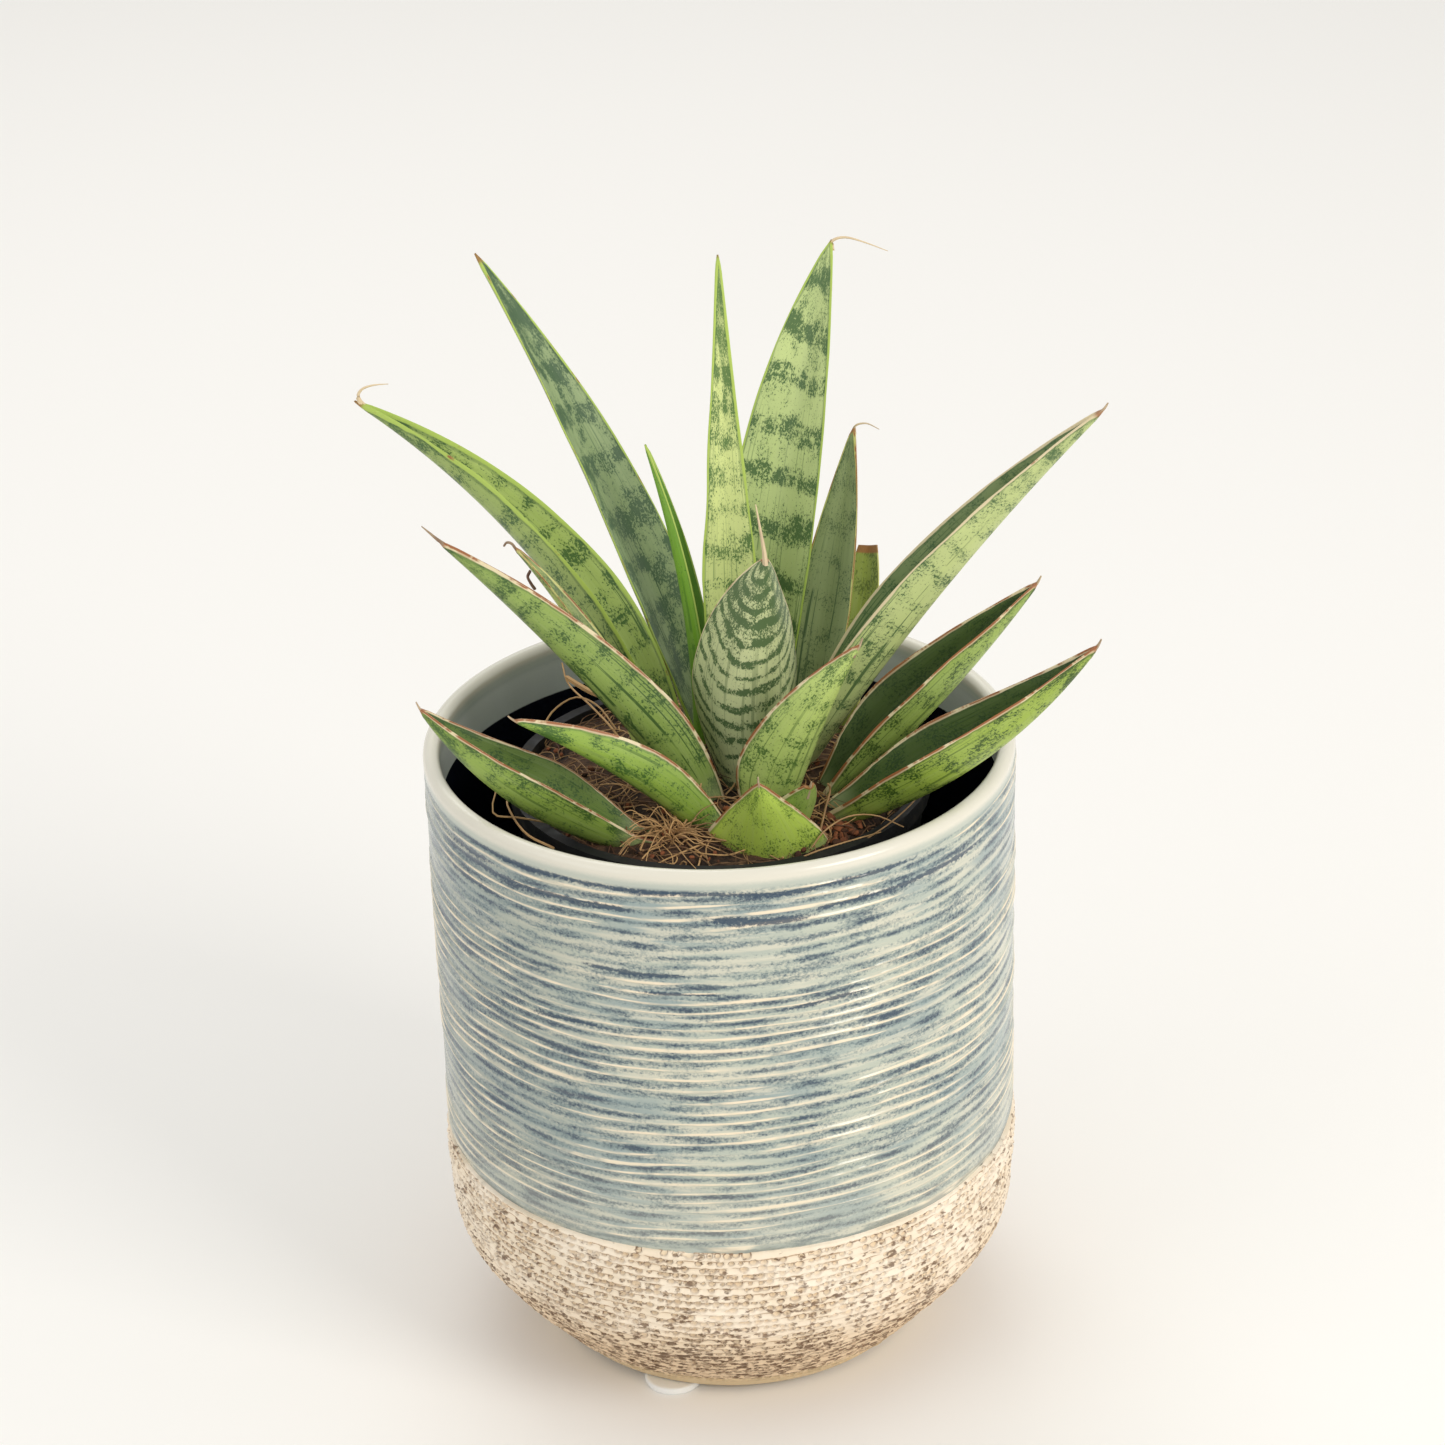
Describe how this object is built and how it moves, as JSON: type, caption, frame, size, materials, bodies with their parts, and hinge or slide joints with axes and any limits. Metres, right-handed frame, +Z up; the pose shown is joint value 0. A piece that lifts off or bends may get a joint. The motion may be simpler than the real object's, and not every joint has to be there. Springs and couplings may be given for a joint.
{
  "type": "potted snake plant",
  "caption": "Young snake plant rosette with banded, folded leaves in a black liner pot, standing in a round-shouldered stoneware planter with a ribbed blue glaze and rough pale base.",
  "frame": {"origin": "on the planter's axis, at the table surface under the bumper pads", "axes": "+Z up; -Y towards the side the plant is usually seen from; +X to the right of that view"},
  "size_m": [0.1584, 0.13, 0.2491],
  "materials": {
    "stoneware_glaze": "glossy blue-grey glaze over fine ribs, with a matt chalky base below",
    "bumper": "smooth translucent white",
    "liner": "black injection-moulded",
    "compost": "brown coir and peat with tan rootlets",
    "leaf": "satin green with dark cross bands and thin dry margins"
  },
  "bodies": {
    "root": {"planter": "stoneware_glaze", "pad_front": "bumper", "pad_right": "bumper", "pad_left": "bumper", "liner_pot": "liner", "root_ball": "compost", "leaf_01_far_left": "leaf", "leaf_02_tall_left": "leaf", "leaf_03_new_spear": "leaf", "leaf_04_tall_centre": "leaf", "leaf_05_tall_right": "leaf", "leaf_06_back_right": "leaf", "leaf_07_cut_stub": "leaf", "leaf_08_long_right": "leaf", "leaf_09_mid_right": "leaf", "leaf_10_low_right": "leaf", "leaf_11_front_centre": "leaf", "leaf_12_front_right": "leaf", "leaf_13_mid_left": "leaf", "leaf_14_thin_left": "leaf", "leaf_15_low_left": "leaf", "leaf_16_lower_left": "leaf", "leaf_17_front_stub": "leaf", "leaf_18_small_front": "leaf"}
  },
  "joints": []
}
